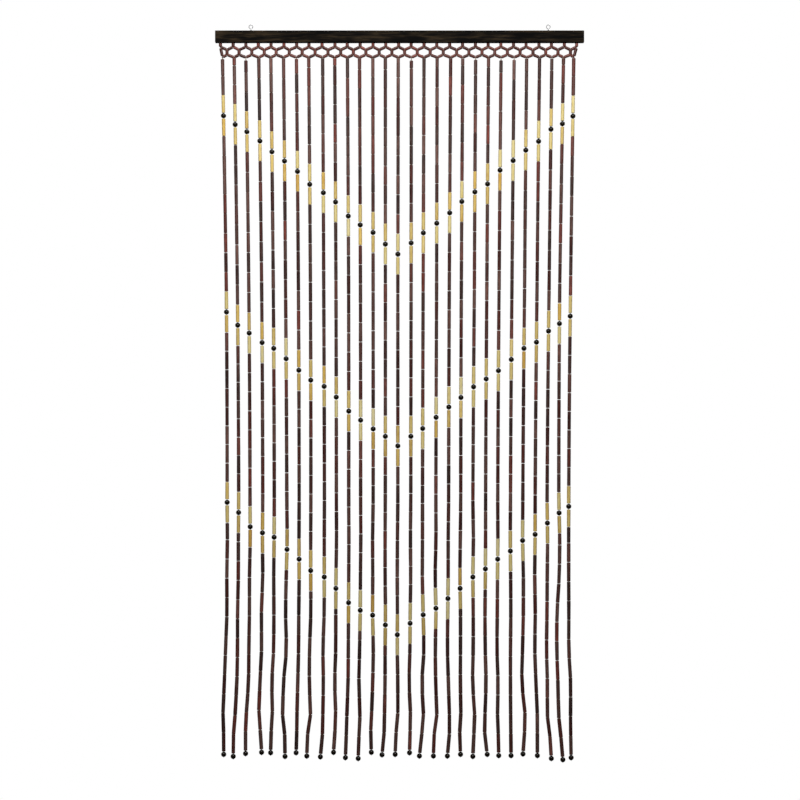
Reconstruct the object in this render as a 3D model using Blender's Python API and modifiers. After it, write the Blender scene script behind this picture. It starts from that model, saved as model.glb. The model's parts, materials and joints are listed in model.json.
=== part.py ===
"""Bead curtain on its rail: tube strands with round beads in three nested V rows.

The curtain hangs from two screw eyes in the top of a flat wooden rail. Under the rail a net of
short beads spaces the strings, and each string is a strand of tubes down to a round end bead.
The net and the strands are one fused solid, with four-sided bars and strands.

Metres, +Z up, +X to the right of someone looking at the front, +Y to the back. The origin is
midway between the centres of the two eyes. A depth is a distance below the origin.
"""

import math
from collections import namedtuple

import bmesh
import bpy

# Rail
RAIL_LENGTH = 0.900
RAIL_HEIGHT = 0.029
RAIL_THICKNESS = 0.015
RAIL_TOP_DEPTH = 0.010
RAIL_EDGE = 0.0010
RAIL_BOTTOM_DEPTH = RAIL_TOP_DEPTH + RAIL_HEIGHT

# Screw eyes
EYE_SPACING = 0.726
EYE_WIRE = 0.0018
EYE_RING_RADIUS = 0.0046
EYE_RING_STEPS = 20
EYE_MOUTH_DEG = 24.0
EYE_SHANK_END_DEPTH = RAIL_TOP_DEPTH + 0.009
FIT_GAP = 0.0003

# Heading net
STRAND_COUNT = 29
MIDDLE = STRAND_COUNT // 2
PITCH = 0.0310
NET_CENTRE_X = -0.0018
END_DRAW_IN = 0.005
NEXT_DRAW_IN = 0.001
UPRIGHT_BEAD = 0.0070
SLANT_BEAD = 0.0064
STRING_LAP = 0.0003
STUB_KNOT_DEPTH = 0.0497
CROSSING_TOP_DEPTH = 0.0568
CROSSING_FOOT_DEPTH = 0.0670
HEAD_KNOT_DEPTH = 0.0731

# Strands
TUBE = 0.0080
STRING_NECK = 0.0040
JOINT_GAP = 0.0010
ROUND_BEAD = 0.0120
BEAD_BELT = 0.0060
STRAND_TOP_DEPTH = 0.0796
FOOT_DEPTH = 1.778
BOW_SHARE = 0.029
BOW_DEPTH = 1.200

# The three V rows: the middle strand's bead hangs at tip_depth, and each strand further out
# carries its bead higher by rise.
VRow = namedtuple("VRow", "tip_depth rise")
V_ROWS = (
    VRow(tip_depth=0.553, rise=0.0245),
    VRow(tip_depth=1.023, rise=0.0232),
    VRow(tip_depth=1.484, rise=0.0228),
)

# Depths at which a strand bends in its lower third, at the joints of its tubes.
KNEE_DEPTH = 1.520
SHIN_DEPTH = 1.600
ANKLE_DEPTH = 1.680

# How each strand hangs, left to right, in millimetres: its three V beads and its foot hang this
# much below the even rows, and it sways this much to the right at knee, shin, ankle and foot.
MM = 0.001
Hang = namedtuple("Hang", "high mid low drop knee shin ankle foot")
HANGS = (
    Hang(7, -2, -4, -2, -6, -10, -12, -11),
    Hang(4, 7, -2, 3, -4, -5, -11, -14),
    Hang(-3, 3, 10, -4, -6, -6, -12, -13),
    Hang(-5, 3, 2, -7, -5, -8, -10, -4),
    Hang(-3, -6, -10, -6, -5, -9, -8, -12),
    Hang(-5, -4, -3, 3, -5, -11, -12, -7),
    Hang(-4, 1, -2, -6, -5, -6, -8, -10),
    Hang(3, 2, 3, 2, -7, -8, -6, -14),
    Hang(-1, -6, -4, 4, -5, -4, -5, -11),
    Hang(-3, -3, 1, -7, -4, -7, -4, -9),
    Hang(7, 8, 13, 6, -4, -4, -7, -10),
    Hang(4, 7, 9, 8, -6, -7, -5, -9),
    Hang(-2, 5, -2, -7, -3, -4, -7, -7),
    Hang(2, 0, -1, -1, -4, -4, -5, -11),
    Hang(2, 0, 0, -2, -5, -2, -3, -9),
    Hang(-1, 0, -5, -6, -4, -5, -2, -4),
    Hang(-1, 4, -3, 2, 1, -4, 0, -10),
    Hang(0, 0, 4, 2, -2, -1, 1, -6),
    Hang(-1, -2, 3, 2, -2, 0, 4, -2),
    Hang(-4, -2, 1, -2, 0, -1, -1, 0),
    Hang(-3, -5, -4, 3, 1, -1, 4, 0),
    Hang(2, -1, -1, -2, 0, 2, -2, 5),
    Hang(-7, 2, -2, 1, -2, 1, 0, 3),
    Hang(-6, -2, 1, 1, 2, 1, 2, 3),
    Hang(-7, -6, -2, -3, 2, -1, 7, 2),
    Hang(-4, 2, 6, 1, 1, 3, 7, 7),
    Hang(-9, -2, 1, 8, -1, 1, 2, 11),
    Hang(2, 3, -1, 11, -5, -2, 0, 10),
    Hang(8, 8, 6, 6, -2, 2, 2, 4),
)

# Colours and finish of the materials: red, green, blue, roughness, metallic
RAIL_FINISH = (0.016, 0.011, 0.008, 0.45, 0.0)
BAMBOO_FINISH = (0.090, 0.040, 0.035, 0.40, 0.0)
EYE_FINISH = (0.62, 0.62, 0.62, 0.30, 1.0)


def clear_scene():
    """Remove the objects that the scene starts with."""
    for item in list(bpy.data.objects):
        bpy.data.objects.remove(item, do_unlink=True)


def new_collection(name):
    """A collection in the scene."""
    collection = bpy.data.collections.new(name)
    bpy.context.scene.collection.children.link(collection)
    return collection


def make_material(name, finish):
    """A plain Principled surface."""
    red, green, blue, roughness, metallic = finish
    material = bpy.data.materials.new(name)
    material.use_nodes = True
    shader = material.node_tree.nodes["Principled BSDF"]
    shader.inputs["Base Color"].default_value = (red, green, blue, 1.0)
    shader.inputs["Roughness"].default_value = roughness
    shader.inputs["Metallic"].default_value = metallic
    return material


def move_to(item, collection):
    """Put an object in one collection only."""
    for other in list(item.users_collection):
        other.objects.unlink(item)
    collection.objects.link(item)


def mark_as_tool(item):
    """Show a cutter or a joined piece as wire and keep it out of the model."""
    item.hide_render = True
    item.display_type = "WIRE"


def swept_bars(name, routes, collection, y=0.0, resolution=0):
    """A mesh of closed bars in one upright plane. A route is a list of points (x, z, thickness)."""
    curve = bpy.data.curves.new(name + "_route", "CURVE")
    curve.dimensions = "3D"
    curve.bevel_depth = TUBE / 2
    curve.bevel_resolution = resolution
    curve.use_fill_caps = True
    for route in routes:
        spline = curve.splines.new("POLY")
        spline.points.add(len(route) - 1)
        for point, (x, z, thickness) in zip(spline.points, route):
            point.co = (x, y, z, 1.0)
            point.radius = thickness / TUBE
    sweep = bpy.data.objects.new(name + "_route", curve)
    collection.objects.link(sweep)
    bpy.context.view_layer.update()
    evaluated = sweep.evaluated_get(bpy.context.evaluated_depsgraph_get())
    mesh = bpy.data.meshes.new_from_object(evaluated)
    mesh.name = name
    bars = bpy.data.objects.new(name, mesh)
    bars.matrix_world = sweep.matrix_world
    collection.objects.link(bars)
    bpy.data.objects.remove(sweep, do_unlink=True)
    bpy.data.curves.remove(curve)
    weld(mesh)
    return bars


def weld(mesh):
    """Join the loose end caps to their bars, with all faces pointing out."""
    shape = bmesh.new()
    shape.from_mesh(mesh)
    bmesh.ops.remove_doubles(shape, verts=shape.verts, dist=0.00001)
    bmesh.ops.recalc_face_normals(shape, faces=shape.faces)
    shape.to_mesh(mesh)
    shape.free()


def combine(item, other, operation):
    """Cut another closed mesh from this one, or join it on."""
    step = item.modifiers.new(other.name, "BOOLEAN")
    step.operation = operation
    step.object = other
    mark_as_tool(other)


def stub_x(index):
    """Where a strand's string leaves the rail."""
    return NET_CENTRE_X + (index - MIDDLE) * PITCH


def head_x(index):
    """Where a strand's tubes begin. The net draws the outermost strands in a little."""
    steps_out = abs(index - MIDDLE)
    draw_in = {MIDDLE: END_DRAW_IN, MIDDLE - 1: NEXT_DRAW_IN}.get(steps_out, 0.0)
    return stub_x(index) - math.copysign(draw_in, index - MIDDLE)


def bowed_x(index, depth):
    """A strand's even line. Lower down, the strands hang a little closer together."""
    share = min(1.0, max(0.0, (depth - STRAND_TOP_DEPTH) / BOW_DEPTH))
    closing = BOW_SHARE * math.sin(share * math.pi / 2)
    return NET_CENTRE_X + (head_x(index) - NET_CENTRE_X) * (1.0 - closing)


def v_bead_depths(index):
    """Depths of the centres of a strand's three V beads."""
    hang = HANGS[index]
    steps_out = abs(index - MIDDLE)
    slips = (hang.high, hang.mid, hang.low)
    return [row.tip_depth - steps_out * row.rise + slip * MM for row, slip in zip(V_ROWS, slips)]


def foot_depth(index):
    """Depth of the centre of a strand's end bead."""
    return FOOT_DEPTH + HANGS[index].drop * MM


def sway(index, depth):
    """How far a strand hangs to the right of its even line."""
    hang = HANGS[index]
    depths = (v_bead_depths(index)[-1], KNEE_DEPTH, SHIN_DEPTH, ANKLE_DEPTH, foot_depth(index))
    sways = (0, hang.knee, hang.shin, hang.ankle, hang.foot)
    if depth <= depths[0]:
        return 0.0
    for upper, lower, start, end in zip(depths, depths[1:], sways, sways[1:]):
        if depth <= lower:
            return (start + (end - start) * (depth - upper) / (lower - upper)) * MM
    return sways[-1] * MM


def strand_point(index, depth, thickness):
    """One point of a strand's route."""
    return (bowed_x(index, depth) + sway(index, depth), -depth, thickness)


def round_bead(centre):
    """Depths and thicknesses of a round bead, on the bare string above and below it."""
    half_bead = ROUND_BEAD / 2
    half_belt = BEAD_BELT / 2
    return [
        (centre - half_bead, STRING_NECK),
        (centre - half_belt, ROUND_BEAD),
        (centre + half_belt, ROUND_BEAD),
        (centre + half_bead, STRING_NECK),
    ]


def strand_route(index):
    """A strand from its knot in the net to the lower end of its end bead."""
    tube_end = ROUND_BEAD / 2 + JOINT_GAP
    profile = [
        (HEAD_KNOT_DEPTH, STRING_NECK),
        (STRAND_TOP_DEPTH - JOINT_GAP, STRING_NECK),
        (STRAND_TOP_DEPTH, TUBE),
    ]
    for centre in v_bead_depths(index):
        profile.append((centre - tube_end, TUBE))
        profile += round_bead(centre)
        profile.append((centre + tube_end, TUBE))
    profile += [(depth, TUBE) for depth in (KNEE_DEPTH, SHIN_DEPTH, ANKLE_DEPTH)]
    profile.append((foot_depth(index) - tube_end, TUBE))
    profile += round_bead(foot_depth(index))
    return [strand_point(index, depth, thickness) for depth, thickness in profile]


def crossing_x(index):
    """Where the strings of a strand and of the next one cross."""
    return (stub_x(index) + stub_x(index + 1)) / 2


def zigzag(knot_x, knot_depth, crossing_depth):
    """A row of slanting beads, from each string's knot to the crossings beside it."""
    route = []
    for index in range(STRAND_COUNT):
        route.append((knot_x(index), -knot_depth, SLANT_BEAD))
        if index < STRAND_COUNT - 1:
            route.append((crossing_x(index), -crossing_depth, SLANT_BEAD))
    return route


def stub(index):
    """The upright bead under the rail, from which a string parts into the net."""
    top = -(RAIL_BOTTOM_DEPTH + FIT_GAP)
    return [(stub_x(index), top, UPRIGHT_BEAD), (stub_x(index), -STUB_KNOT_DEPTH, UPRIGHT_BEAD)]


def crossing(index):
    """The upright bead in which two neighbouring strings cross."""
    x = crossing_x(index)
    return [(x, -CROSSING_TOP_DEPTH, UPRIGHT_BEAD), (x, -CROSSING_FOOT_DEPTH, UPRIGHT_BEAD)]


def side_string(index):
    """The outermost string, straight down beside the net and in to its strand's knot."""
    return [
        (stub_x(index), -(RAIL_BOTTOM_DEPTH + FIT_GAP), UPRIGHT_BEAD),
        (stub_x(index), -CROSSING_FOOT_DEPTH, UPRIGHT_BEAD),
        (head_x(index), -HEAD_KNOT_DEPTH, UPRIGHT_BEAD),
    ]


def make_bead_net(parts, tools, material):
    """The heading net and all its strands, fused in one solid."""
    strands = [strand_route(index) for index in range(STRAND_COUNT)]
    net = swept_bars("bead_net", strands, parts)
    net.data.materials.append(material)

    slants = [
        zigzag(stub_x, STUB_KNOT_DEPTH, CROSSING_TOP_DEPTH),
        zigzag(head_x, HEAD_KNOT_DEPTH, CROSSING_FOOT_DEPTH),
    ]
    combine(net, swept_bars("net_slants", slants, tools, y=STRING_LAP), "UNION")

    last = STRAND_COUNT - 1
    uprights = [side_string(0), side_string(last)]
    uprights += [stub(index) for index in range(1, last)]
    uprights += [crossing(index) for index in range(last)]
    combine(net, swept_bars("net_uprights", uprights, tools, y=-STRING_LAP), "UNION")
    return net


def eye_route(centre_x):
    """A screw eye's wire: round the ring from its mouth, then down the shank."""
    start = math.radians(EYE_MOUTH_DEG - 90.0)
    turn = math.radians(360.0 - 2 * EYE_MOUTH_DEG)
    route = []
    for step in range(EYE_RING_STEPS + 1):
        angle = start + turn * step / EYE_RING_STEPS
        x = centre_x + EYE_RING_RADIUS * math.cos(angle)
        route.append((x, EYE_RING_RADIUS * math.sin(angle), EYE_WIRE))
    neck = EYE_RING_RADIUS + EYE_WIRE
    route.append((centre_x - EYE_WIRE / 4, -neck, EYE_WIRE))
    route.append((centre_x, -neck - EYE_WIRE, EYE_WIRE))
    route.append((centre_x, -EYE_SHANK_END_DEPTH, EYE_WIRE))
    return route


def make_eye(name, centre_x, parts, material):
    """A screw eye, its ring across the rail's front so that a hook enters from the front."""
    eye = swept_bars(name, [eye_route(centre_x)], parts, resolution=1)
    eye.data.materials.append(material)
    eye.data.shade_smooth()
    return eye


def make_rail(parts, tools, material):
    """The batten, with its edges eased and a hole for each eye's shank."""
    bpy.ops.mesh.primitive_cube_add(size=1.0)
    rail = bpy.context.active_object
    rail.name = "rail"
    rail.data.name = "rail"
    move_to(rail, parts)
    rail.scale = (RAIL_LENGTH, RAIL_THICKNESS, RAIL_HEIGHT)
    bpy.ops.object.transform_apply(location=False, rotation=False, scale=True)
    rail.location.z = -(RAIL_TOP_DEPTH + RAIL_BOTTOM_DEPTH) / 2
    rail.data.materials.append(material)
    edge = rail.modifiers.new("eased_edges", "BEVEL")
    edge.width = RAIL_EDGE
    edge.segments = 1
    for side in (-1, 1):
        bpy.ops.mesh.primitive_cylinder_add(
            vertices=12,
            radius=EYE_WIRE / 2 + FIT_GAP,
            depth=2 * (EYE_SHANK_END_DEPTH + FIT_GAP - RAIL_TOP_DEPTH),
            location=(side * EYE_SPACING / 2, 0.0, -RAIL_TOP_DEPTH),
        )
        hole = bpy.context.active_object
        hole.name = "shank_hole_left" if side < 0 else "shank_hole_right"
        move_to(hole, tools)
        combine(rail, hole, "DIFFERENCE")
    return rail


def main():
    """Build the curtain and its rail."""
    clear_scene()
    parts = new_collection("bead_curtain_with_rail")
    tools = new_collection("cutters_and_joined_pieces")
    rail_material = make_material("dark_stained_wood", RAIL_FINISH)
    bamboo_material = make_material("brown_bamboo", BAMBOO_FINISH)
    eye_material = make_material("bright_steel", EYE_FINISH)
    make_rail(parts, tools, rail_material)
    make_eye("eye_left", -EYE_SPACING / 2, parts, eye_material)
    make_eye("eye_right", EYE_SPACING / 2, parts, eye_material)
    make_bead_net(parts, tools, bamboo_material)


main()
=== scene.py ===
"""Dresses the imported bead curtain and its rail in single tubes, beads, strings and real finishes.

Laid out as a Blender add-on and run as a script. Metres, +Z up, +X to the right of someone
looking at the front, +Y to the back. The origin is midway between the centres of the two eyes,
and a depth is a distance below it.
"""

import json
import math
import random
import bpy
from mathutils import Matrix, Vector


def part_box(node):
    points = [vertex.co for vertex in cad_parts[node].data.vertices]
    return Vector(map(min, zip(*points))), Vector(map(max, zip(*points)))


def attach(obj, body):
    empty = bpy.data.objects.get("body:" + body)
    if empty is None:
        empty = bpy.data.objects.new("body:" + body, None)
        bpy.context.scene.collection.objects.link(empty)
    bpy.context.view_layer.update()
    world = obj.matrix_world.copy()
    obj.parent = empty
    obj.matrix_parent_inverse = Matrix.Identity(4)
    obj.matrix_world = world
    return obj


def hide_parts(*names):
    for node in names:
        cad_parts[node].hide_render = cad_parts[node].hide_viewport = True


bl_info = {
    "name": "Bead curtain with rail",
    "version": (1, 0, 0),
    "blender": (4, 5, 0),
    "location": "3D View > Sidebar > Bead Curtain",
    "description": "Threads a bead curtain strand by strand, and sets up its studio",
    "category": "Add Mesh",
}

from collections import namedtuple

import bmesh
import bpy
from bpy.props import FloatProperty, FloatVectorProperty, PointerProperty
from mathutils import Matrix, Vector

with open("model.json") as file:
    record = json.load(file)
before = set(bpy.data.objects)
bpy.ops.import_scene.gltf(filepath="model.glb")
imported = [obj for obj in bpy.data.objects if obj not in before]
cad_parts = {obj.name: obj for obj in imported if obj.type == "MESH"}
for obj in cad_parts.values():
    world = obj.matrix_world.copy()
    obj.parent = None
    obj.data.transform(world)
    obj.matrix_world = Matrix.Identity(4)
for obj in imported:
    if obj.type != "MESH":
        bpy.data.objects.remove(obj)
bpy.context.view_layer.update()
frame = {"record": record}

MM = 0.001
UP = Vector((0.0, 0.0, 1.0))

# Heading net. Its nodes lie up to 1.6 mm above or below those of the part's plainer bars.
STRAND_COUNT = 29
MIDDLE = STRAND_COUNT // 2
PITCH = 0.0310
NET_CENTRE_X = -0.0018
END_DRAW_IN = 0.005
NEXT_DRAW_IN = 0.001
RAIL_BOTTOM_DEPTH = -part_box("rail")[0].z
STUB_KNOT_DEPTH = 0.0489
CROSSING_TOP_DEPTH = 0.0563
CROSSING_FOOT_DEPTH = 0.0680
HEAD_KNOT_DEPTH = 0.0746

# Strands: the even lines, V rows and feet that the tables below start from, as in the part
STRAND_TOP_DEPTH = 0.0796
FOOT_DEPTH = 1.778
BOW_SHARE = 0.029
BOW_DEPTH = 1.200
VRow = namedtuple("VRow", "tip_depth rise")
V_ROWS = (
    VRow(tip_depth=0.553, rise=0.0245),
    VRow(tip_depth=1.023, rise=0.0232),
    VRow(tip_depth=1.484, rise=0.0228),
)

# How much lower each strand's three V beads and its foot hang than the even rows, left to right,
# in millimetres
Hang = namedtuple("Hang", "high mid low drop")
HANGS = (
    Hang(7, -2, -4, -2),
    Hang(4, 7, -2, 3),
    Hang(-3, 3, 10, -4),
    Hang(-5, 3, 2, -7),
    Hang(-3, -6, -10, -6),
    Hang(-5, -4, -3, 3),
    Hang(-4, 1, -2, -6),
    Hang(3, 2, 3, 2),
    Hang(-1, -6, -4, 4),
    Hang(-3, -3, 1, -7),
    Hang(7, 8, 13, 6),
    Hang(4, 7, 9, 8),
    Hang(-2, 5, -2, -7),
    Hang(2, 0, -1, -1),
    Hang(2, 0, 0, -2),
    Hang(-1, 0, -5, -6),
    Hang(-1, 4, -3, 2),
    Hang(0, 0, 4, 2),
    Hang(-1, -2, 3, 2),
    Hang(-4, -2, 1, -2),
    Hang(-3, -5, -4, 3),
    Hang(2, -1, -1, -2),
    Hang(-7, 2, -2, 1),
    Hang(-6, -2, 1, 1),
    Hang(-7, -6, -2, -3),
    Hang(-4, 2, 6, 1),
    Hang(-9, -2, 1, 8),
    Hang(2, 3, -1, 11),
    Hang(8, 8, 6, 6),
)

# How far each string lies to the right of its even place, left to right, in millimetres: under the
# rail, and where it crosses the next one. The part has the even places.
Aside = namedtuple("Aside", "stub crossing")
ASIDES = (
    Aside(-1.5, -1.0),
    Aside(-1.5, -2.5),
    Aside(-1.5, -2.5),
    Aside(-2.0, -3.0),
    Aside(-2.0, -5.0),
    Aside(-1.5, -4.0),
    Aside(-1.5, -3.5),
    Aside(-2.5, -3.0),
    Aside(-1.5, -2.5),
    Aside(-1.0, -2.5),
    Aside(-2.0, -2.5),
    Aside(-1.5, -3.0),
    Aside(-1.0, -1.5),
    Aside(-1.0, -1.5),
    Aside(-0.5, -1.5),
    Aside(-1.0, -1.5),
    Aside(-0.5, -1.0),
    Aside(-0.5, 0.0),
    Aside(0.0, 1.5),
    Aside(0.5, 0.5),
    Aside(1.0, 1.5),
    Aside(1.0, 1.5),
    Aside(1.0, 1.5),
    Aside(1.0, 1.5),
    Aside(0.5, 2.0),
    Aside(1.0, 2.0),
    Aside(0.5, 1.0),
    Aside(1.0, 0.5),
    Aside(0.0, 0.0),
)

# How far each strand hangs to the right of its even line, left to right, in millimetres, at these
# depths and at its foot
SWAY_DEPTHS = (HEAD_KNOT_DEPTH, 0.64, 1.16, 1.25, 1.34, 1.43, 1.52, 1.60, 1.68, 1.73)
SWAYS = (
    (-1.5, -0.5, -2.5, -2, -3.5, -3, -6.5, -9.5, -13, -11, -11),
    (0, 0, -0.5, -1.5, -1.5, -3.5, -3.5, -5, -9.5, -13.5, -14),
    (-1.5, -1.5, -2, -1.5, -3.5, -3.5, -5, -5.5, -11.5, -13.5, -13),
    (-1, -0.5, -1, -2, -1, -4.5, -4, -8, -11, -6, -4),
    (-2.5, -2.5, -3, -3.5, -4.5, -4, -4.5, -9.5, -7.5, -11.5, -12),
    (-2.5, -3, -2.5, -1.5, -4, -6, -3, -11, -13, -7.5, -7),
    (-2, -2, -2.5, -3, -2.5, -3.5, -4, -6, -8, -8.5, -10),
    (-3, -3, -4, -4.5, -4.5, -4, -7.5, -8, -5, -12.5, -14),
    (0, -1, -1, -1.5, -1.5, -1.5, -5, -3.5, -5, -6, -11),
    (-1.5, -1.5, -2, -1.5, -3, -3.5, -3.5, -6.5, -3.5, -6, -9),
    (-1.5, -1, -2, -1.5, -2, -2.5, -3, -3.5, -6.5, -8, -10),
    (-3, -2.5, -3, -2.5, -3.5, -4, -5.5, -7.5, -4.5, -7, -9),
    (-1.5, -2, -2.5, -4, -3.5, -4, -2, -3.5, -6.5, -9, -7),
    (-2, -2.5, -3, -3.5, -3.5, -2.5, -3.5, -3.5, -5, -6, -11),
    (-1.5, -2.5, -2.5, -3.5, -4, -3.5, -4, -2.5, -2.5, -7.5, -9),
    (-0.5, -0.5, -1, -2, -1, -2.5, -3, -5.5, -1.5, -3, -4),
    (-0.5, -1.5, -2.5, -2.5, -3, -1, 1.5, -4.5, 0, -4.5, -10),
    (0.5, 1, 0, 0.5, -2, 0.5, -1.5, -0.5, 2.5, -4.5, -6),
    (2.5, 1.5, 1, 0, 0, -1, -2, 0.5, 3, 3, -2),
    (1, 0.5, 0.5, -0.5, -1.5, 0, 0, -0.5, 1, -2.5, 0),
    (1.5, 2, 0, 1.5, 0, 1, 1, -1, 4.5, 2.5, 0),
    (2, 2, 1, 1, 0.5, -0.5, 0, 2.5, -0.5, -1.5, 5),
    (1.5, 1.5, 0.5, 1, 0, -0.5, -1.5, 1.5, 0, 2, 3),
    (2.5, 2.5, 1.5, 1, 2, 2.5, 1.5, 1.5, 2, 2.5, 3),
    (2, 3, 1.5, 1, 3, 3, 1, -1.5, 7.5, 5.5, 2),
    (2.5, 3, 1.5, 1.5, 0.5, 2, 0.5, 3.5, 7, 7, 7),
    (1.5, 2, 0.5, 2, 1, 0.5, -1, 1.5, 1, 7.5, 11),
    (0, -1.5, 0, 2.5, 1.5, -4.5, -5, -2, -0.5, 5, 10),
    (-2, -1.5, -2, -2, -2, -1.5, -2, 3, 2.5, 3, 4),
)

# Tubes: how many fill the runs between the V rows, and how long the rest of an uneven run has to be
# for a short tube of its own
EVEN_RUN_TUBES = 8
SHORTEST_SHARE = 0.3

# Where the strands' first tubes start. The power makes low ones rare.
HIGHEST_TUBE_DEPTH = 0.0764
LOWEST_TUBE_DEPTH = 0.0835
LOW_START_POWER = 6

# Form of the tubes. An end's thickness varies by the flare, and its roundness by the oval. What lies
# nearer a tube's axis than the rim share of its thickness is its saw cut or its bore.
TEMPLATE_LENGTH = 0.010
TUBE_SIDES = 12
SAW_CHAMFER = 0.0005
NET_CHAMFER = 0.0007
BORE_SHARE = 0.42
BORE_RECESS = 0.0016
FLARE = (0.955, 1.03)
OVAL = (0.98, 1.02)
RIM_SHARE = 0.465

# The canes are stouter lower down: from this depth on, up to this much at the feet
STOUT_FROM_DEPTH = 0.700
STOUTER_AT_FOOT = 0.09

# Each end of a tube leaves a share of the joint gap in this range.
JOINT_SHARES = (0.25, 0.75)

# How far the net's beads keep from the middles of the node beads at their ends, and the stubs from
# the rail
KNOT_CLEARANCE = 0.0008
SLANT_CLEARANCE = 0.0016
SIDE_CLEARANCE = 0.0036
STUB_CLEARANCE = 0.0003

# Round beads
BEAD_SEGMENTS = 16
BEAD_RINGS = 11
BEAD_BORE_INSET = 0.05
BEAD_TIP_DEG = 4.0

# Strings, node beads and knots. A knot is a little flat, and squat by a share in this range. A foot
# knot's middle hangs by a share of its thickness below the end bead.
STRING_SIDES = 6
NECK_THICKNESS = 0.0030
NODE_BEAD = 0.0050
FOOT_KNOT = 0.0021
FOOT_KNOT_DROP = 0.1
KNOT_FLAT = 0.9
KNOT_SQUAT = (0.75, 0.95)

# Rail
RAIL_EDGE = 0.0012
RAIL_EDGE_STEPS = 3

# Screw eyes
EYE_SPACING = 0.726
EYE_WIRE = 0.0018
EYE_RING_RADIUS = 0.0046
EYE_RING_STEPS = 28
EYE_MOUTH_DEG = 24.0
EYE_SHANK_END_DEPTH = 0.019
EYE_NECK_BEND = 0.00315
EYE_NECK_STEPS = 6
EYE_SHOULDER = 0.0042
EYE_SHOULDER_TOP_DEPTH = 0.0078
EYE_SHOULDER_SUNK = 0.0005
WIRE_SIDES = 12

# Studio. The two lights stand as far behind the curtain as in front of it.
FLOOR_DEPTH = 1.93
FLOOR_RADIUS = 12.0
DOME_RADIUS = 13.0
LIGHT_DISTANCE = 2.2
LIGHT_TOP = 1.2
LIGHT_AIM = (0.0, 0.0, -0.9)
LIGHT_WIDTH = 2.4
LIGHT_HEIGHT = 0.9
CAMERA_X = 0.001
CAMERA_Z = -0.911

# The Mix node's sockets for colours
MIX_SHARE, MIX_FIRST, MIX_SECOND, MIX_RESULT = 0, 6, 7, 2

# Seeds of the random draws
NET_SEED = 11
BROWN_SEED = 21
NATURAL_SEED = 31
ROUND_BEAD_SEED = 41
STRING_SEED = 51

Tubes = namedtuple("Tubes", "brown natural")


def slot_colour(name):
    """The base colour of one of the record's material slots."""
    for material in frame["record"]["materials"]:
        if material["slot"] == name:
            return tuple(material["base_color"])
    raise RuntimeError("the record has no material slot " + name)


class CurtainSizes(bpy.types.PropertyGroup):
    """Sizes of the tubes, beads and strings."""

    tube_diameter: FloatProperty(
        name="Tube diameter",
        description="Outside diameter of a strand's tubes",
        default=0.0087,
        unit="LENGTH",
    )
    brown_length: FloatProperty(
        name="Brown tube length",
        description="Length of a full brown tube with its joint",
        default=0.0470,
        unit="LENGTH",
    )
    natural_length: FloatProperty(
        name="Natural tube length",
        description="Length of a natural tube with its joint",
        default=0.0430,
        unit="LENGTH",
    )
    joint_gap: FloatProperty(
        name="Joint gap",
        description="Bare string between two tubes",
        default=0.0010,
        unit="LENGTH",
    )
    round_bead: FloatProperty(
        name="Round bead diameter",
        description="Diameter of the black round beads",
        default=0.0129,
        unit="LENGTH",
    )
    upright_bead: FloatProperty(
        name="Upright net bead",
        description="Diameter of the heading net's upright beads",
        default=0.0080,
        unit="LENGTH",
    )
    slant_bead: FloatProperty(
        name="Slanting net bead",
        description="Diameter of the heading net's slanting beads",
        default=0.0078,
        unit="LENGTH",
    )
    string_thickness: FloatProperty(
        name="String thickness",
        description="Thickness of the waxed string",
        default=0.0014,
        unit="LENGTH",
    )


def colour_property(label, slot):
    """A colour that starts as the record's own."""
    return FloatVectorProperty(
        name=label,
        description="Base colour of the " + label.lower(),
        default=slot_colour(slot),
        min=0.0,
        max=1.0,
        subtype="COLOR",
    )


class CurtainColours(bpy.types.PropertyGroup):
    """Base colours of the finishes."""

    rail_wood: colour_property("Rail wood", "rail_wood")
    brown_bamboo: colour_property("Brown bamboo", "brown_bamboo")
    natural_bamboo: colour_property("Natural bamboo", "natural_bamboo")
    black_bead: colour_property("Black beads", "black_bead")
    string: colour_property("String", "string")
    bright_steel: colour_property("Screw eyes", "bright_steel")


class CurtainStudio(bpy.types.PropertyGroup):
    """Camera and light."""

    lens: FloatProperty(
        name="Lens",
        description="Focal length of the camera",
        default=85.0,
        unit="CAMERA",
    )
    frame_height: FloatProperty(
        name="Framed height",
        description="Height that the camera frames at the curtain",
        default=1.953,
        unit="LENGTH",
    )
    key_power: FloatProperty(
        name="Key light",
        description="Power of the soft light above the front, in watts",
        default=115.0,
        unit="POWER",
    )
    back_power: FloatProperty(
        name="Back light",
        description="Power of the soft light above the back, in watts",
        default=60.0,
        unit="POWER",
    )
    ambient: FloatProperty(
        name="Room light",
        description="Strength of the even light from all round",
        default=0.05,
    )


def even_x(index):
    """A strand's even place under the rail. Halves lie between two strands."""
    return NET_CENTRE_X + (index - MIDDLE) * PITCH


def stub_x(index):
    """Where a strand's string leaves the rail."""
    return even_x(index) + ASIDES[index].stub * MM


def crossing_x(index):
    """Where the strings of a strand and of the next one cross."""
    return even_x(index + 0.5) + ASIDES[index].crossing * MM


def head_x(index):
    """The even place of a strand's tubes. The net draws the outermost strands in a little."""
    steps_out = abs(index - MIDDLE)
    draw_in = {MIDDLE: END_DRAW_IN, MIDDLE - 1: NEXT_DRAW_IN}.get(steps_out, 0.0)
    return even_x(index) - math.copysign(draw_in, index - MIDDLE)


def bowed_x(index, depth):
    """A strand's even line. Lower down, the strands hang a little closer together."""
    share = min(1.0, max(0.0, (depth - STRAND_TOP_DEPTH) / BOW_DEPTH))
    closing = BOW_SHARE * math.sin(share * math.pi / 2)
    return NET_CENTRE_X + (head_x(index) - NET_CENTRE_X) * (1.0 - closing)


def v_bead_depths(index):
    """Depths of the centres of a strand's three V beads."""
    hang = HANGS[index]
    steps_out = abs(index - MIDDLE)
    slips = (hang.high, hang.mid, hang.low)
    return [row.tip_depth - steps_out * row.rise + slip * MM for row, slip in zip(V_ROWS, slips)]


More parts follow.
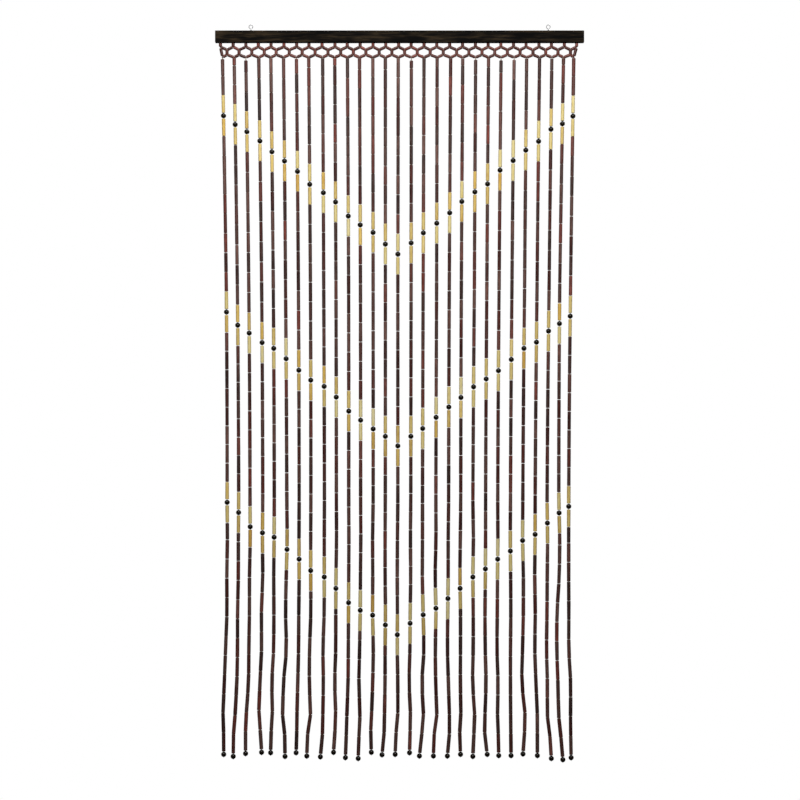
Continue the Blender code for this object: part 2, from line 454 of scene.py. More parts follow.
def foot_depth(index):
    """Depth of the centre of a strand's end bead."""
    return FOOT_DEPTH + HANGS[index].drop * MM


def sway(index, depth):
    """How far a strand hangs to the right of its even line."""
    depths = SWAY_DEPTHS + (foot_depth(index),)
    sways = SWAYS[index]
    for upper, lower, start, end in zip(depths, depths[1:], sways, sways[1:]):
        if depth <= lower:
            share = max(0.0, (depth - upper) / (lower - upper))
            return (start + (end - start) * share) * MM
    return sways[-1] * MM


def strand_point(index, depth):
    """Where a strand's string runs at a depth."""
    return Vector((bowed_x(index, depth) + sway(index, depth), 0.0, -depth))


def net_point(x, depth):
    """A point of the heading net."""
    return Vector((x, 0.0, -depth))


def even_run(top, foot, count):
    """Equal tubes from one depth to another."""
    length = (foot - top) / count
    return [(top + step * length, top + (step + 1) * length) for step in range(count)]


def filled_run(top, foot, length):
    """Full tubes from the foot up. A small rest is shared out, and a larger one is a short tube."""
    count = int((foot - top) / length)
    rest = foot - top - count * length
    if rest < SHORTEST_SHARE * length:
        return even_run(top, foot, count)
    return [(top, top + rest)] + even_run(top + rest, foot, count)


def strand_top(index):
    """Where a strand's first tube starts. Most start close below the net, and a few hang lower."""
    share = random.Random(index).random() ** LOW_START_POWER
    return HIGHEST_TUBE_DEPTH + share * (LOWEST_TUBE_DEPTH - HIGHEST_TUBE_DEPTH)


def strand_tubes(index, sizes):
    """The depths from and to which a strand's brown tubes and natural tubes reach."""
    bead_reach = (sizes.round_bead + sizes.joint_gap) / 2
    natural = []
    for centre in v_bead_depths(index):
        natural.append((centre - bead_reach - sizes.natural_length, centre - bead_reach))
        natural.append((centre + bead_reach, centre + bead_reach + sizes.natural_length))
    brown = filled_run(strand_top(index), natural[0][0], sizes.brown_length)
    brown += even_run(natural[1][1], natural[2][0], EVEN_RUN_TUBES)
    brown += even_run(natural[3][1], natural[4][0], EVEN_RUN_TUBES)
    brown += filled_run(natural[5][1], foot_depth(index) - bead_reach, sizes.brown_length)
    return Tubes(brown, natural)


def crisp(shape, degrees):
    """Shade a shape smooth, apart from edges sharper than an angle."""
    for face in shape.faces:
        face.smooth = True
    for edge in shape.edges:
        edge.smooth = edge.calc_face_angle(0.0) < math.radians(degrees)


def tube_form(diameter, chamfer, sides):
    """A short upright tube with eased saw cuts and a bore, closed inside."""
    shape = bmesh.new()
    radius = diameter / 2
    bmesh.ops.create_cone(
        shape,
        cap_ends=True,
        segments=sides,
        radius1=radius,
        radius2=radius,
        depth=TEMPLATE_LENGTH,
    )
    cuts = [face for face in shape.faces if len(face.verts) == sides]
    rims = [edge for face in cuts for edge in face.edges]
    bmesh.ops.bevel(
        shape,
        geom=rims,
        offset=chamfer,
        offset_type="OFFSET",
        segments=1,
        profile=0.5,
        affect="EDGES",
        material=-1,
    )
    cuts = [face for face in shape.faces if len(face.verts) == sides]
    wall = radius - chamfer - radius * BORE_SHARE
    bmesh.ops.inset_individual(shape, faces=cuts, thickness=wall, use_even_offset=True)
    cuts = [face for face in shape.faces if len(face.verts) == sides]
    bored = bmesh.ops.extrude_discrete_faces(shape, faces=cuts)["faces"]
    for face in bored:
        inward = Vector((0.0, 0.0, -math.copysign(BORE_RECESS, face.calc_center_median().z)))
        bmesh.ops.translate(shape, verts=face.verts, vec=inward)
    bmesh.ops.recalc_face_normals(shape, faces=shape.faces)
    crisp(shape, 38)
    return shape


def round_bead_form(diameter):
    """A turned round bead with a bore from pole to pole, closed inside."""
    shape = bmesh.new()
    bmesh.ops.create_uvsphere(
        shape,
        u_segments=BEAD_SEGMENTS,
        v_segments=BEAD_RINGS,
        radius=diameter / 2,
    )
    poles = [vert for vert in shape.verts if len(vert.link_edges) == BEAD_SEGMENTS]
    bmesh.ops.dissolve_verts(shape, verts=poles)
    cuts = [face for face in shape.faces if len(face.verts) == BEAD_SEGMENTS]
    bmesh.ops.inset_individual(shape, faces=cuts, thickness=diameter * BEAD_BORE_INSET)
    cuts = [face for face in shape.faces if len(face.verts) == BEAD_SEGMENTS]
    for face in cuts:
        inward = Vector((0.0, 0.0, -math.copysign(BORE_RECESS, face.calc_center_median().z)))
        bmesh.ops.translate(shape, verts=face.verts, vec=inward)
    bmesh.ops.recalc_face_normals(shape, faces=shape.faces)
    crisp(shape, 50)
    return shape


def sweep(points, thickness, sides):
    """A closed round bar of even thickness along some points."""
    shape = bmesh.new()
    legs = [end - start for start, end in zip(points, points[1:])]
    runs = [leg.normalized() for leg in legs]
    bends = [(before + after).normalized() for before, after in zip(runs, runs[1:])]
    faces_to = [runs[0]] + bends + [runs[-1]]
    turn = UP.rotation_difference(runs[0]).to_matrix().to_4x4()
    bmesh.ops.create_circle(
        shape,
        cap_ends=True,
        segments=sides,
        radius=thickness / 2,
        matrix=Matrix.Translation(points[0]) @ turn,
    )
    start_face = end_face = shape.faces[:][0]
    for point, leg, before, after in zip(points[1:], legs, faces_to, faces_to[1:]):
        behind = end_face
        drawn = bmesh.ops.extrude_face_region(shape, geom=[behind])["geom"]
        end_face = next(item for item in drawn if isinstance(item, bmesh.types.BMFace))
        if behind != start_face:
            bmesh.ops.delete(shape, geom=[behind], context="FACES_ONLY")
        bmesh.ops.translate(shape, verts=end_face.verts, vec=leg)
        turn = before.rotation_difference(after).to_matrix()
        bmesh.ops.rotate(shape, cent=point, matrix=turn, verts=end_face.verts)
    bmesh.ops.recalc_face_normals(shape, faces=shape.faces)
    crisp(shape, 62)
    return shape


def knot_form(centre, diameter, chance):
    """A small round bead or a pulled-tight knot, a little squat."""
    shape = bmesh.new()
    spin = Matrix.Rotation(chance.uniform(0.0, math.pi), 4, "Z")
    squat = Matrix.Diagonal((1.0, KNOT_FLAT, chance.uniform(*KNOT_SQUAT), 1.0))
    bmesh.ops.create_icosphere(
        shape,
        subdivisions=2,
        radius=diameter / 2,
        matrix=Matrix.Translation(centre) @ spin @ squat,
    )
    crisp(shape, 90)
    return shape


class Joined:
    """Many small shapes, gathered in one mesh with the grain and the lot of each."""

    def __init__(self):
        self.shape = bmesh.new()
        self.buffer = bpy.data.meshes.new("buffer")
        self.grain = []
        self.lots = []

    def add(self, shape, place=None, grain_shift=None, lot=None, rim_radius=0.0):
        """Add a shape and free it. Grain runs in the shape's own axes, from grain_shift."""
        shift = grain_shift or Vector()
        tone, warmth = lot or (0.5, 0.5)
        for vert in shape.verts:
            self.grain.extend(vert.co + shift)
            rim = 1.0 if math.hypot(vert.co.x, vert.co.y) < rim_radius else 0.0
            self.lots.extend((tone, warmth, rim))
        if place is not None:
            bmesh.ops.transform(shape, matrix=place, verts=shape.verts)
        shape.to_mesh(self.buffer)
        shape.free()
        self.shape.from_mesh(self.buffer)

    def finish(self, name, material, replaced):
        """The finished piece, riding with the curtain."""
        mesh = bpy.data.meshes.new(name)
        self.shape.to_mesh(mesh)
        self.shape.free()
        bpy.data.meshes.remove(self.buffer)
        mesh.attributes.new("grain", "FLOAT_VECTOR", "POINT").data.foreach_set("vector", self.grain)
        mesh.attributes.new("lot", "FLOAT_VECTOR", "POINT").data.foreach_set("vector", self.lots)
        return new_piece(name, mesh, material, replaced)


def new_piece(name, mesh, material, replaced):
    """An object at the origin that rides with the curtain and stands for some CAD nodes."""
    mesh.materials.append(material)
    piece = bpy.data.objects.new(name, mesh)
    bpy.context.scene.collection.objects.link(piece)
    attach(piece, "root")
    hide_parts(*replaced)
    return piece


def cane_lot(chance, darkest=0.0, coolest=0.0):
    """A tube's tone and warmth, each from 0 to 1."""
    return (chance.uniform(darkest, 1.0), chance.uniform(coolest, 1.0))


def net_lot(chance):
    """The net's beads are redder and a little lighter than the strands' tubes."""
    return cane_lot(chance, darkest=0.2, coolest=0.75)


def stoutness(depth):
    """How many times as thick as the topmost ones the tubes are at a depth."""
    share = (depth - STOUT_FROM_DEPTH) / (FOOT_DEPTH - STOUT_FROM_DEPTH)
    return 1.0 + STOUTER_AT_FOOT * max(0.0, share)


def add_tube(joined, form, top, foot, diameter, chance, lot, stout=1.0):
    """Cut a tube to length, vary it as cane does, and hang it between two points."""
    tube = form.copy()
    axis = top - foot
    longer = (axis.length - TEMPLATE_LENGTH) / 2
    for side in (-1, 1):
        end = [vert for vert in tube.verts if vert.co.z * side > 0]
        bmesh.ops.translate(tube, verts=end, vec=(0.0, 0.0, side * longer))
        flare = stout * chance.uniform(*FLARE)
        bmesh.ops.scale(tube, verts=end, vec=(flare, flare * chance.uniform(*OVAL), 1.0))
    turn = Matrix.Rotation(chance.uniform(0.0, 2 * math.pi), 4, "Z")
    place = Matrix.Translation((top + foot) / 2) @ UP.rotation_difference(axis).to_matrix().to_4x4()
    shift = Vector((chance.uniform(-1, 1), chance.uniform(-1, 1), chance.uniform(-1, 1)))
    joined.add(tube, place @ turn, shift, lot, rim_radius=diameter * stout * RIM_SHARE)


def node(tree, kind, inputs=None, **settings):
    """A shader node with its settings, and with its inputs given as values or linked sockets."""
    made = tree.nodes.new(kind)
    for name, value in settings.items():
        setattr(made, name, value)
    for name, value in (inputs or {}).items():
        if isinstance(value, bpy.types.NodeSocket):
            tree.links.new(value, made.inputs[name])
        else:
            made.inputs[name].default_value = value
    return made


def surface(name, constants):
    """A material with its Principled shader, whose constant sockets are set directly."""
    material = bpy.data.materials.new(name)
    material.use_nodes = True
    tree = material.node_tree
    shader = tree.nodes["Principled BSDF"]
    for socket, value in constants.items():
        shader.inputs[socket].default_value = value
    return material, tree, shader


def ramp(tree, value, stops):
    """A colour ramp with (position, colour) stops."""
    made = node(tree, "ShaderNodeValToRGB", {"Fac": value})
    elements = made.color_ramp.elements
    while len(elements) < len(stops):
        elements.new(1.0)
    for element, (position, colour) in zip(elements, stops):
        element.position = position
        element.color = (*colour, 1.0)
    return made.outputs["Color"]


def shade(colour, red, green, blue):
    """A colour with each channel made stronger or weaker."""
    return (colour[0] * red, colour[1] * green, colour[2] * blue)


def blend(tree, share, first, second, mode="MIX"):
    """Mix two colours."""
    made = node(tree, "ShaderNodeMix", data_type="RGBA", blend_type=mode, clamp_factor=True)
    for socket, value in ((MIX_SHARE, share), (MIX_FIRST, first), (MIX_SECOND, second)):
        if isinstance(value, bpy.types.NodeSocket):
            tree.links.new(value, made.inputs[socket])
        elif socket == MIX_SHARE:
            made.inputs[socket].default_value = value
        else:
            made.inputs[socket].default_value = (*value, 1.0)
    return made.outputs[MIX_RESULT]


def span(tree, value, low, high, from_low=0.0, from_high=1.0):
    """A value brought from one range to another."""
    inputs = {
        "Value": value,
        "From Min": from_low,
        "From Max": from_high,
        "To Min": low,
        "To Max": high,
    }
    return node(tree, "ShaderNodeMapRange", inputs).outputs["Result"]


def noise(tree, vector, scale, detail, stretch=(1.0, 1.0, 1.0)):
    """A noise, stretched along the axes where stretch is small."""
    mapped = node(tree, "ShaderNodeMapping", {"Vector": vector, "Scale": stretch})
    inputs = {"Vector": mapped.outputs["Vector"], "Scale": scale, "Detail": detail}
    return node(tree, "ShaderNodeTexNoise", inputs).outputs["Fac"]


def add_math(tree, operation, first, second):
    """One sum on values or sockets."""
    return node(tree, "ShaderNodeMath", {0: first, 1: second}, operation=operation).outputs[0]


def roughen(tree, shader, height, strength, distance):
    """Relief from a height."""
    inputs = {"Height": height, "Strength": strength, "Distance": distance}
    bump = node(tree, "ShaderNodeBump", inputs)
    tree.links.new(bump.outputs["Normal"], shader.inputs["Normal"])


def bamboo(name, stops, warm, warm_from, sawn, rim_share, coat):
    """Lacquered cane: fibres along the tube, blotches, a tone for each tube, and paler saw cuts."""
    constants = {"Coat Weight": coat, "Coat Roughness": 0.18, "Specular IOR Level": 0.22}
    material, tree, shader = surface(name, constants)
    grain = node(tree, "ShaderNodeAttribute", attribute_name="grain").outputs["Vector"]
    lot = node(tree, "ShaderNodeAttribute", attribute_name="lot").outputs["Vector"]
    split = node(tree, "ShaderNodeSeparateXYZ", {"Vector": lot})
    tone, warmth, rim = (split.outputs[axis] for axis in "XYZ")
    fibres = noise(tree, grain, 1300.0, 5.0, (1.0, 1.0, 0.016))
    blotches = noise(tree, grain, 190.0, 5.0, (1.0, 1.0, 0.3))
    flecks = noise(tree, grain, 700.0, 2.0, (1.0, 1.0, 0.09))
    streaks = span(tree, fibres, -0.42, 0.42)
    mixed = add_math(tree, "ADD", streaks, span(tree, blotches, -0.38, 0.38))
    value = add_math(tree, "ADD", span(tree, tone, 0.2, 0.8), mixed)
    colour = ramp(tree, value, stops)
    warm_share = span(tree, warmth, 0.0, 0.85, warm_from, 1.0)
    colour = blend(tree, warm_share, colour, warm, "MULTIPLY")
    fleck_share = span(tree, flecks, 0.0, 0.55, 0.60, 0.72)
    colour = blend(tree, fleck_share, colour, (0.45, 0.36, 0.30), "MULTIPLY")
    colour = blend(tree, span(tree, rim, 0.0, rim_share), colour, sawn)
    tree.links.new(colour, shader.inputs["Base Color"])
    tree.links.new(span(tree, fibres, 0.32, 0.60), shader.inputs["Roughness"])
    roughen(tree, shader, add_math(tree, "ADD", fibres, blotches), 0.3, 0.0003)
    return material


def brown_bamboo_material(colour):
    """Cane stained a dark reddish brown."""
    stops = (
        (0.0, shade(colour, 0.20, 0.22, 0.22)),
        (0.4, shade(colour, 0.66, 0.76, 0.72)),
        (0.75, shade(colour, 1.25, 1.40, 1.30)),
        (1.0, shade(colour, 2.30, 2.50, 2.30)),
    )
    sawn = shade(colour, 3.4, 5.2, 3.6)
    return bamboo("brown_bamboo_finish", stops, (1.25, 0.50, 0.44), 0.4, sawn, 0.55, 0.12)


def natural_bamboo_material(colour):
    """Pale cane with its own yellow, browner along some fibres."""
    stops = (
        (0.0, shade(colour, 0.62, 0.44, 0.20)),
        (0.3, shade(colour, 0.82, 0.74, 0.42)),
        (0.65, shade(colour, 0.93, 0.95, 0.70)),
        (1.0, shade(colour, 1.04, 1.14, 1.20)),
    )
    sawn = shade(colour, 1.0, 1.05, 1.2)
    return bamboo("natural_bamboo_finish", stops, (1.0, 0.80, 0.42), 0.6, sawn, 0.5, 0.2)


def black_bead_material(colour):
    """Turned wood under gloss black lacquer."""
    constants = {"Coat Weight": 0.2, "Coat Roughness": 0.06, "Specular IOR Level": 0.12}
    material, tree, shader = surface("black_bead_finish", constants)
    place = node(tree, "ShaderNodeTexCoord").outputs["Object"]
    wood = noise(tree, place, 900.0, 3.0, (1.0, 1.0, 0.25))
    stops = ((0.3, shade(colour, 0.5, 0.4, 0.2)), (0.8, shade(colour, 1.9, 1.5, 0.9)))
    tree.links.new(ramp(tree, wood, stops), shader.inputs["Base Color"])
    tree.links.new(span(tree, wood, 0.22, 0.42), shader.inputs["Roughness"])
    roughen(tree, shader, wood, 0.2, 0.0002)
    return material


def string_material(colour):
    """Twisted waxed string, with painted shade in the grooves of its twist."""
    material, tree, shader = surface("string_finish", {"Specular IOR Level": 0.35})
    place = node(tree, "ShaderNodeTexCoord").outputs["Object"]
    inputs = {"Vector": place, "Scale": 420.0, "Distortion": 1.5, "Detail": 2.0}
    twist = node(tree, "ShaderNodeTexWave", inputs, bands_direction="DIAGONAL").outputs["Fac"]
    # The colour follows the twist: painted shade darkens its grooves, and its ridges are lighter.
    stops = ((0.0, shade(colour, 0.55, 0.50, 0.45)), (1.0, shade(colour, 1.25, 1.25, 1.25)))
    tree.links.new(ramp(tree, twist, stops), shader.inputs["Base Color"])
    tree.links.new(span(tree, twist, 0.75, 0.55), shader.inputs["Roughness"])
    roughen(tree, shader, twist, 0.6, 0.0003)
    return material


def rail_wood_material(colour):
    """Softwood stained nearly black, with the grain along the rail and a satin finish."""
    material, tree, shader = surface("rail_wood_finish", {"Specular IOR Level": 0.04})
    place = node(tree, "ShaderNodeTexCoord").outputs["Object"]
    figure = noise(tree, place, 190.0, 5.0, (0.12, 1.0, 1.0))
    pores = noise(tree, place, 1500.0, 3.0, (0.02, 1.0, 1.0))
    patches = noise(tree, place, 14.0, 4.0, (0.6, 2.0, 2.0))
    streaks = span(tree, figure, -0.5, 1.0, 0.25, 0.75)
    value = add_math(tree, "ADD", streaks, span(tree, patches, -0.5, 1.0, 0.2, 0.8))
    stops = (
        (0.1, shade(colour, 0.05, 0.05, 0.05)),
        (0.45, shade(colour, 0.32, 0.30, 0.24)),
        (0.75, shade(colour, 0.85, 0.85, 0.60)),
        (1.0, shade(colour, 1.60, 1.50, 1.05)),
    )
    dark_pores = span(tree, pores, 0.75, 0.0, 0.28, 0.42)
    tint = blend(tree, dark_pores, ramp(tree, value, stops), shade(colour, 0.1, 0.1, 0.1))
    tree.links.new(tint, shader.inputs["Base Color"])
    tree.links.new(span(tree, patches, 0.75, 0.55), shader.inputs["Roughness"])
    roughen(tree, shader, add_math(tree, "ADD", figure, pores), 0.3, 0.0003)
    return material


def bright_steel_material(colour):
    """Zinc-plated wire with faint drawing marks."""
    material, tree, shader = surface("bright_steel_finish", {"Metallic": 0.7})
    place = node(tree, "ShaderNodeTexCoord").outputs["Object"]
    marks = noise(tree, place, 1600.0, 3.0)
    stops = ((0.3, shade(colour, 0.34, 0.34, 0.36)), (0.7, shade(colour, 0.74, 0.74, 0.72)))
    tree.links.new(ramp(tree, marks, stops), shader.inputs["Base Color"])
    tree.links.new(span(tree, marks, 0.38, 0.60), shader.inputs["Roughness"])
    roughen(tree, shader, marks, 0.15, 0.0001)
    return material


class CURTAIN_OT_rail(bpy.types.Operator):
    """Plane the wooden rail, with rounded edges and its grain lengthwise"""

    bl_idname = "curtain.rail"
    bl_label = "Rail"

    def execute(self, context):
        low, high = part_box("rail")
        shape = bmesh.new()
        bmesh.ops.create_cube(shape, size=1.0)
        bmesh.ops.scale(shape, vec=high - low, verts=shape.verts)
        bmesh.ops.translate(shape, vec=(low + high) / 2, verts=shape.verts)
        bmesh.ops.bevel(
            shape,
            geom=shape.edges,
            offset=RAIL_EDGE,
            offset_type="OFFSET",
            segments=RAIL_EDGE_STEPS,
            profile=0.5,
            affect="EDGES",
            material=-1,
        )
        for face in shape.faces:
            across = min(edge.calc_length() for edge in face.edges)
            face.smooth = across < RAIL_EDGE
        mesh = bpy.data.meshes.new("rail_piece")
        shape.to_mesh(mesh)
        shape.free()
        colours = context.scene.curtain_colours
        new_piece("rail_piece", mesh, rail_wood_material(colours.rail_wood), ["rail"])
        return {"FINISHED"}


class CURTAIN_OT_eyes(bpy.types.Operator):
    """Bend the two screw eyes from steel wire"""

    bl_idname = "curtain.eyes"
    bl_label = "Screw eyes"

    def execute(self, context):
        material = bright_steel_material(context.scene.curtain_colours.bright_steel)
        for name, side in (("left", -1), ("right", 1)):
            joined = Joined()
            centre_x = side * EYE_SPACING / 2
            joined.add(sweep(eye_points(centre_x), EYE_WIRE, WIRE_SIDES))
            top = net_point(centre_x, EYE_SHOULDER_TOP_DEPTH)
            foot = net_point(centre_x, -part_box("rail")[1].z + EYE_SHOULDER_SUNK)
            joined.add(sweep([top, foot], EYE_SHOULDER, 2 * WIRE_SIDES))
            joined.finish("screw_eye_" + name, material, ["eye_" + name])
        return {"FINISHED"}


def eye_points(centre_x):
    """A screw eye's wire: round the ring from its mouth, then down the shank."""
    start = math.radians(EYE_MOUTH_DEG - 90.0)
    turn = math.radians(360.0 - 2 * EYE_MOUTH_DEG)
    points = []
    for step in range(EYE_RING_STEPS + 1):
        angle = start + turn * step / EYE_RING_STEPS
        points.append((math.cos(angle) * EYE_RING_RADIUS, math.sin(angle) * EYE_RING_RADIUS))
    bend_z = points[-1][1] - EYE_NECK_BEND * math.cos(math.radians(EYE_MOUTH_DEG))
    for step in range(1, EYE_NECK_STEPS + 1):
        angle = math.radians((90.0 - EYE_MOUTH_DEG) * (1.0 - step / EYE_NECK_STEPS))
        along = EYE_NECK_BEND * (math.cos(angle) - 1.0)
        points.append((along, bend_z + EYE_NECK_BEND * math.sin(angle)))
    points.append((0.0, -EYE_SHANK_END_DEPTH))
    return [Vector((centre_x + x, 0.0, z)) for x, z in points]


def net_legs():
    """Every length of string in the net, as (start, end, kind)."""
    legs = []
    rail_foot = RAIL_BOTTOM_DEPTH + STUB_CLEARANCE
    for index in range(STRAND_COUNT):
        stub_foot = net_point(stub_x(index), STUB_KNOT_DEPTH)
        head = strand_point(index, HEAD_KNOT_DEPTH)
        legs.append((net_point(stub_x(index), rail_foot), stub_foot, "stub"))
        for beside in (index - 1, index):
            if 0 <= beside < STRAND_COUNT - 1:
                legs.append((stub_foot, net_point(crossing_x(beside), CROSSING_TOP_DEPTH), "slant"))
                legs.append((net_point(crossing_x(beside), CROSSING_FOOT_DEPTH), head, "slant"))
            else:
                legs.append((stub_foot, head, "side"))
        if index < STRAND_COUNT - 1:
            top = net_point(crossing_x(index), CROSSING_TOP_DEPTH)
            foot = net_point(crossing_x(index), CROSSING_FOOT_DEPTH)
            legs.append((top, foot, "crossing"))
    return legs


class CURTAIN_OT_net_beads(bpy.types.Operator):
    """Thread the short beads of the heading net"""

    bl_idname = "curtain.net_beads"
    bl_label = "Net beads"

    def execute(self, context):
        sizes = context.scene.curtain_sizes
        chance = random.Random(NET_SEED)
        upright = tube_form(sizes.upright_bead, NET_CHAMFER, TUBE_SIDES)
        slant = tube_form(sizes.slant_bead, NET_CHAMFER, TUBE_SIDES)
        kinds = {
            "stub": (upright, sizes.upright_bead, KNOT_CLEARANCE),
            "crossing": (upright, sizes.upright_bead, KNOT_CLEARANCE),
            "slant": (slant, sizes.slant_bead, SLANT_CLEARANCE),
            "side": (slant, sizes.slant_bead, SIDE_CLEARANCE),
        }
        joined = Joined()
        nodes = set()
        for start, end, kind in net_legs():
            form, diameter, clear = kinds[kind]
            along = (end - start).normalized()
            top = start + along * (0.0 if kind == "stub" else clear)
            foot = end - along * clear
            add_tube(joined, form, top, foot, diameter, chance, net_lot(chance))
            nodes.add(tuple(end))
            if kind != "stub":
                nodes.add(tuple(start))
        for node_place in sorted(nodes):
            joined.add(knot_form(Vector(node_place), NODE_BEAD, chance), lot=net_lot(chance))
        for form in (upright, slant):
            form.free()
        material = bpy.data.materials["brown_bamboo_finish"]
        joined.finish("net_beads", material, ["bead_net"])
        return {"FINISHED"}


def hang_tubes(name, sizes, kind, material, seed):
    """Thread all the brown tubes or all the natural tubes of every strand in one mesh."""
    chance = random.Random(seed)
    form = tube_form(sizes.tube_diameter, SAW_CHAMFER, TUBE_SIDES)
    joined = Joined()
    for index in range(STRAND_COUNT):
        for top, foot in getattr(strand_tubes(index, sizes), kind):
            start = strand_point(index, top)
            end = strand_point(index, foot)
            along = (end - start).normalized()
            start += along * sizes.joint_gap * chance.uniform(*JOINT_SHARES)
            end -= along * sizes.joint_gap * chance.uniform(*JOINT_SHARES)
            lot = cane_lot(chance)
            stout = stoutness(top)
            add_tube(joined, form, start, end, sizes.tube_diameter, chance, lot, stout)
    form.free()
    return joined.finish(name, material, ["bead_net"])


class CURTAIN_OT_brown_tubes(bpy.types.Operator):
    """Thread the brown tubes of all the strands"""

    bl_idname = "curtain.brown_tubes"
    bl_label = "Brown tubes"

    def execute(self, context):
        sizes = context.scene.curtain_sizes
        material = brown_bamboo_material(context.scene.curtain_colours.brown_bamboo)
        hang_tubes("brown_tubes", sizes, "brown", material, BROWN_SEED)
        return {"FINISHED"}


class CURTAIN_OT_natural_tubes(bpy.types.Operator):
    """Thread the natural tubes beside the V beads"""

    bl_idname = "curtain.natural_tubes"
    bl_label = "Natural tubes"

    def execute(self, context):
        sizes = context.scene.curtain_sizes
        material = natural_bamboo_material(context.scene.curtain_colours.natural_bamboo)
        hang_tubes("natural_tubes", sizes, "natural", material, NATURAL_SEED)
        return {"FINISHED"}


class CURTAIN_OT_round_beads(bpy.types.Operator):
    """Thread the black round beads of the V rows and of the strands' ends"""

    bl_idname = "curtain.round_beads"
    bl_label = "Round beads"

    def execute(self, context):
        sizes = context.scene.curtain_sizes
        chance = random.Random(ROUND_BEAD_SEED)
        joined = Joined()
        form = round_bead_form(sizes.round_bead)
        for index in range(STRAND_COUNT):
            for depth in v_bead_depths(index) + [foot_depth(index)]:
                turn = Matrix.Rotation(chance.uniform(0.0, 2 * math.pi), 4, "Z")
                lean = chance.uniform(-BEAD_TIP_DEG, BEAD_TIP_DEG)
                tip = Matrix.Rotation(math.radians(lean), 4, "Y")
                place = Matrix.Translation(strand_point(index, depth))
                joined.add(form.copy(), place @ tip @ turn)
        form.free()
        material = black_bead_material(context.scene.curtain_colours.black_bead)
        joined.finish("round_beads", material, ["bead_net"])
        return {"FINISHED"}


class CURTAIN_OT_strings(bpy.types.Operator):
    """Run the strings through all the beads, and tie their knots"""

    bl_idname = "curtain.strings"
    bl_label = "Strings"

    def execute(self, context):
        sizes = context.scene.curtain_sizes
        chance = random.Random(STRING_SEED)
        joined = Joined()
        for index in range(STRAND_COUNT):
            brown, natural = strand_tubes(index, sizes)
            knot_drop = sizes.round_bead / 2 + FOOT_KNOT * FOOT_KNOT_DROP
            knot = strand_point(index, foot_depth(index) + knot_drop)
            depths = sorted({depth for tube in brown + natural for depth in tube})
            points = [strand_point(index, HEAD_KNOT_DEPTH)]
            points += [strand_point(index, depth) for depth in depths]
            points.append(knot)
            joined.add(sweep(points, sizes.string_thickness, STRING_SIDES))
            joined.add(sweep(points[:2], NECK_THICKNESS, STRING_SIDES))
            joined.add(knot_form(knot, FOOT_KNOT, chance))
        for start, end, _kind in net_legs():
            joined.add(sweep([start, end], sizes.string_thickness, STRING_SIDES))
        material = string_material(context.scene.curtain_colours.string)
        joined.finish("strings", material, ["bead_net"])
        return {"FINISHED"}


def plain_white(name):
    """An even white that shows as paper white and throws no light."""
    material, _tree, shader = surface(name, {"Roughness": 1.0, "Specular IOR Level": 0.0})
    shader.inputs["Base Color"].default_value = (0.0, 0.0, 0.0, 1.0)
    shader.inputs["Emission Color"].default_value = (1.0, 1.0, 1.0, 1.0)
    shader.inputs["Emission Strength"].default_value = 1.0
    return material


def stage_piece(name, shape, material):
    """A part of the studio that the camera sees, and that neither lights nor shades the curtain."""
    mesh = bpy.data.meshes.new(name)
    shape.to_mesh(mesh)
    shape.free()
    mesh.materials.append(material)
    piece = bpy.data.objects.new(name, mesh)
    bpy.context.scene.collection.objects.link(piece)
    piece.visible_diffuse = False
    piece.visible_glossy = False
    piece.visible_transmission = False
    piece.visible_shadow = False
    return piece


def soft_light(name, place, power):
    """A large soft light that the camera doesn't see, aimed at the curtain's middle."""
    data = bpy.data.lights.new(name, "AREA")
    data.shape = "RECTANGLE"
    data.size = LIGHT_WIDTH
    data.size_y = LIGHT_HEIGHT
    data.energy = power
    lamp = bpy.data.objects.new(name, data)
    lamp.location = place
    lamp.rotation_mode = "QUATERNION"
    lamp.rotation_quaternion = (Vector(LIGHT_AIM) - Vector(place)).to_track_quat("-Z", "Y")
    lamp.visible_camera = False
    bpy.context.scene.collection.objects.link(lamp)
    return lamp


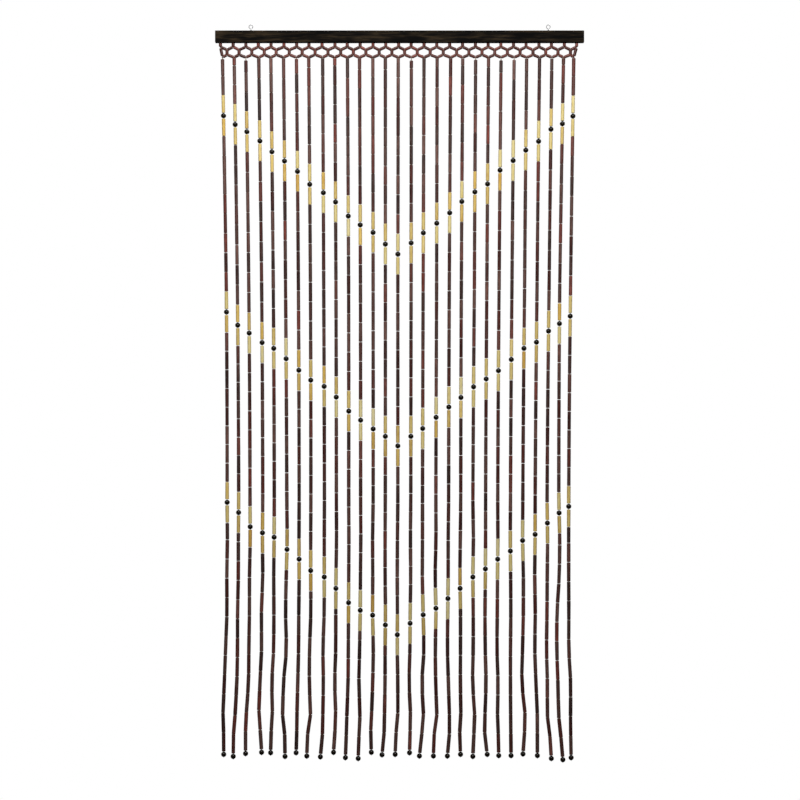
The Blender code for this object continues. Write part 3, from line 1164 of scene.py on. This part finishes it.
class CURTAIN_OT_studio(bpy.types.Operator):
    """Set up the white floor and backdrop, the soft lights and the camera"""

    bl_idname = "curtain.studio"
    bl_label = "Studio"

    def execute(self, context):
        scene = context.scene
        studio = scene.curtain_studio

        floor = bmesh.new()
        bmesh.ops.create_circle(
            floor,
            cap_ends=True,
            segments=96,
            radius=FLOOR_RADIUS,
            matrix=Matrix.Translation((0.0, 0.0, -FLOOR_DEPTH)),
        )
        stage_piece("floor", floor, plain_white("floor_white"))
        dome = bmesh.new()
        bmesh.ops.create_uvsphere(dome, u_segments=48, v_segments=24, radius=DOME_RADIUS)
        bmesh.ops.reverse_faces(dome, faces=dome.faces)
        stage_piece("backdrop", dome, plain_white("backdrop_white"))

        soft_light("key", (0.0, -LIGHT_DISTANCE, LIGHT_TOP), studio.key_power)
        soft_light("back", (0.0, LIGHT_DISTANCE, LIGHT_TOP), studio.back_power)

        world = bpy.data.worlds.new("studio")
        world.use_nodes = True
        world.node_tree.nodes["Background"].inputs["Color"].default_value = (1.0, 1.0, 1.0, 1.0)
        world.node_tree.nodes["Background"].inputs["Strength"].default_value = studio.ambient
        scene.world = world

        data = bpy.data.cameras.new("camera")
        data.lens = studio.lens
        data.clip_end = 100.0
        camera = bpy.data.objects.new("camera", data)
        distance = studio.frame_height * data.lens / data.sensor_width
        camera.location = (CAMERA_X, -distance, CAMERA_Z)
        camera.rotation_euler = (math.radians(90.0), 0.0, 0.0)
        scene.collection.objects.link(camera)
        scene.camera = camera
        scene.view_settings.view_transform = "Standard"
        return {"FINISHED"}


class CURTAIN_PT_panel(bpy.types.Panel):
    """Lists the curtain's pieces, sizes and colours"""

    bl_idname = "CURTAIN_PT_panel"
    bl_label = "Bead Curtain"
    bl_space_type = "VIEW_3D"
    bl_region_type = "UI"
    bl_category = "Bead Curtain"

    def draw(self, context):
        for name in STEPS:
            self.layout.operator("curtain." + name)
        for group_name in GROUPS:
            group = getattr(context.scene, group_name)
            box = self.layout.box()
            for name in group.__annotations__:
                box.prop(group, name)


GROUPS = {
    "curtain_sizes": CurtainSizes,
    "curtain_colours": CurtainColours,
    "curtain_studio": CurtainStudio,
}
OPERATORS = (
    CURTAIN_OT_rail,
    CURTAIN_OT_eyes,
    CURTAIN_OT_brown_tubes,
    CURTAIN_OT_natural_tubes,
    CURTAIN_OT_net_beads,
    CURTAIN_OT_round_beads,
    CURTAIN_OT_strings,
    CURTAIN_OT_studio,
)
STEPS = [operator.bl_idname.split(".")[1] for operator in OPERATORS]


def register():
    """Make the properties, operators and panel known to Blender."""
    for name, group in GROUPS.items():
        bpy.utils.register_class(group)
        setattr(bpy.types.Scene, name, PointerProperty(type=group))
    for operator in OPERATORS:
        bpy.utils.register_class(operator)
    bpy.utils.register_class(CURTAIN_PT_panel)


def unregister():
    """Take them out again."""
    bpy.utils.unregister_class(CURTAIN_PT_panel)
    for operator in reversed(OPERATORS):
        bpy.utils.unregister_class(operator)
    for name, group in reversed(GROUPS.items()):
        delattr(bpy.types.Scene, name)
        bpy.utils.unregister_class(group)


def main():
    """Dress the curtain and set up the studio."""
    register()
    for name in STEPS:
        getattr(bpy.ops.curtain, name)()


if __name__ == "__main__":
    main()
